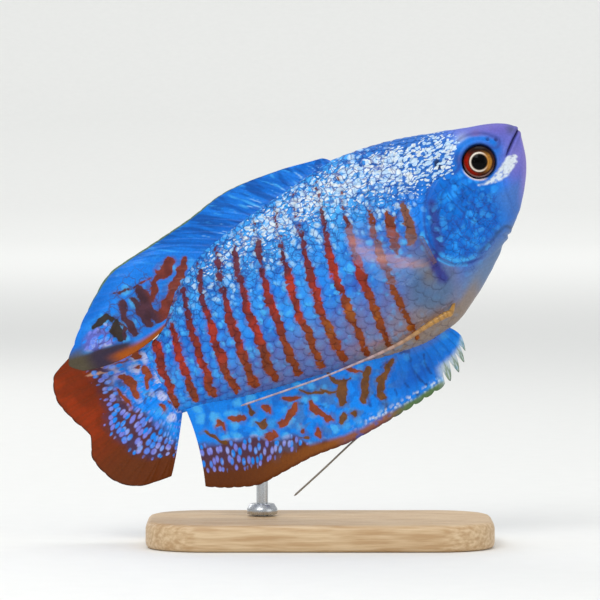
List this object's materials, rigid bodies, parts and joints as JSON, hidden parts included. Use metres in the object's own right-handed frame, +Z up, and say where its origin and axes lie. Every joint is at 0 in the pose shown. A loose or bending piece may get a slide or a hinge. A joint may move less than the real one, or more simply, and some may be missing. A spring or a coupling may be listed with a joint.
{
  "type": "dwarf gourami model",
  "caption": "Life-size still model of a male dwarf gourami swimming nose-up, with spread ray fins and thread-like feelers, held on a flat wooden base by a slim rod.",
  "frame": {"origin": "the middle of the stand base's flat underside, on the surface it stands on", "axes": "+Z up, +X the way the fish faces, +Y the fish's left side; its right side faces -Y"},
  "size_m": [0.0712, 0.03, 0.0632],
  "materials": {
    "head_skin": "satin scaled skin, violet-blue on the snout",
    "jaw_skin": "satin violet-grey skin",
    "gill_cover_skin": "glossy bright blue",
    "flank_skin": "glossy azure scales with brick-red bars",
    "eye": "wet gloss, dark brown with a black pupil",
    "fin_web": "satin blue web with brown marks and a rust edge",
    "tail_web": "satin brick-red web with small blue spots",
    "pectoral_web": "thin pale web",
    "feeler": "satin orange thread, paler at the tip",
    "base_wood": "plain satin wood",
    "rod_steel": "plain satin steel"
  },
  "bodies": {
    "root": {"head": "head_skin", "lower_jaw": "jaw_skin", "gill_cover_right": "gill_cover_skin", "gill_cover_left": "gill_cover_skin", "eye_right": "eye", "eye_left": "eye", "trunk": "flank_skin", "tail_stem": "flank_skin", "dorsal_fin": "fin_web", "anal_fin": "fin_web", "tail_fin": "tail_web", "pectoral_fin_right": "pectoral_web", "pectoral_fin_left": "pectoral_web", "feeler_right": "feeler", "feeler_left": "feeler", "stand_base": "base_wood", "stand_rod": "rod_steel", "stand_collar": "rod_steel"}
  },
  "joints": []
}
